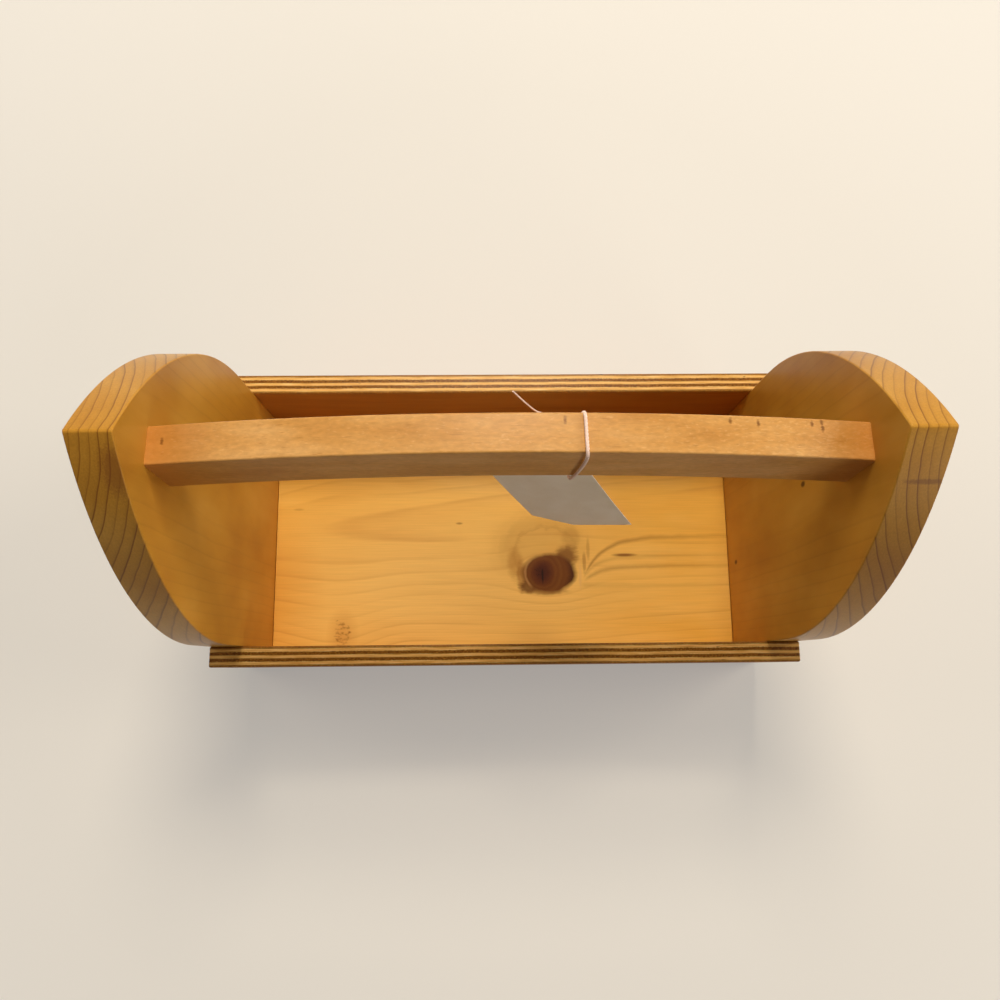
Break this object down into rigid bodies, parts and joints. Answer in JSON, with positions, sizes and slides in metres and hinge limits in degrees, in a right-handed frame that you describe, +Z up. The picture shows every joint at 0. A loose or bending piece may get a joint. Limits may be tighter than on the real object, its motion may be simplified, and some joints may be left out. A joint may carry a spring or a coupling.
{
  "type": "wooden tool caddy",
  "caption": "Open wooden tool caddy with pointed-arch end boards, plywood sides, a pine bottom and an arched fixed handle, with a blank paper tag hung from the handle on a string.",
  "frame": {"origin": "on the table, under the middle of the tray", "axes": "+X along the tray towards the right end board, +Y towards the back panel, +Z up"},
  "size_m": [0.343, 0.1762, 0.279],
  "materials": {
    "pine": "satin amber varnish",
    "plywood": "satin amber varnish",
    "handle_wood": "satin clear varnish",
    "screw_steel": "zinc plated",
    "paper": "matte card",
    "string": "soft twisted cotton"
  },
  "bodies": {
    "caddy": {"left_end_board": "pine", "right_end_board": "pine", "bottom_board": "pine", "front_side_panel": "plywood", "back_side_panel": "plywood", "handle": "handle_wood", "front_panel_screws": "screw_steel", "back_panel_screws": "screw_steel", "front_floor_screws": "screw_steel", "back_floor_screws": "screw_steel", "left_floor_screws": "screw_steel", "right_floor_screws": "screw_steel", "left_handle_screws": "screw_steel", "right_handle_screws": "screw_steel", "tag_string": "string", "string_tail": "string", "string_knot": "string"},
    "tag": {"hang_tag": "paper"}
  },
  "joints": [
    {"name": "tag_swing", "type": "hinge", "parent": "caddy", "child": "tag", "pos_m": [0.0276, 0, 0.20612], "axis": [1, 0, 0], "range_deg": [-20, 40]}
  ]
}
